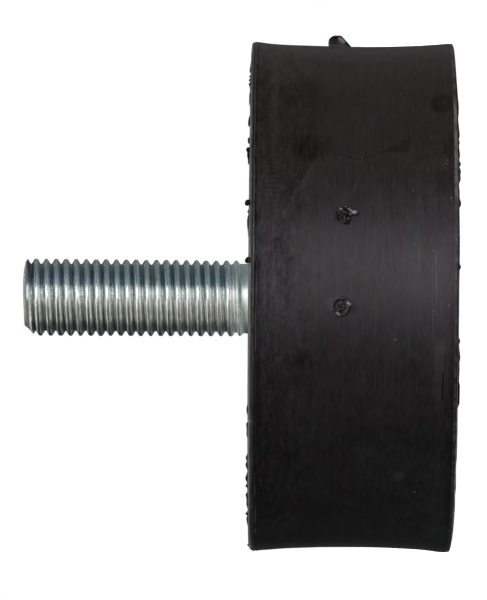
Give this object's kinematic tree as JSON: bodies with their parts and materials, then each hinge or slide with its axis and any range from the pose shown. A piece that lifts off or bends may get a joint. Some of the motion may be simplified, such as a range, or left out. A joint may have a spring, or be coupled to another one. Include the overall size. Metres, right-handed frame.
{
  "type": "bobbin vibration mount",
  "caption": "Round rubber bobbin mount for isolating vibration, with a steel plate bonded into each end, a threaded stud on one side and a tapped hole on the other.",
  "frame": {"origin": "centre of the tapped end's flat face, which it stands on", "axes": "+Z along the axis towards the stud's tip; +X towards the tallest moulding nub"},
  "size_m": [0.1027, 0.1014, 0.0852],
  "materials": {
    "rubber": "matte",
    "zinc_plated_steel": "satin",
    "plate_steel": "satin"
  },
  "bodies": {
    "root": {"rubber_body": "rubber", "stud_plate": "plate_steel", "threaded_stud": "zinc_plated_steel", "base_plate": "plate_steel", "tapped_insert": "zinc_plated_steel"}
  },
  "joints": []
}
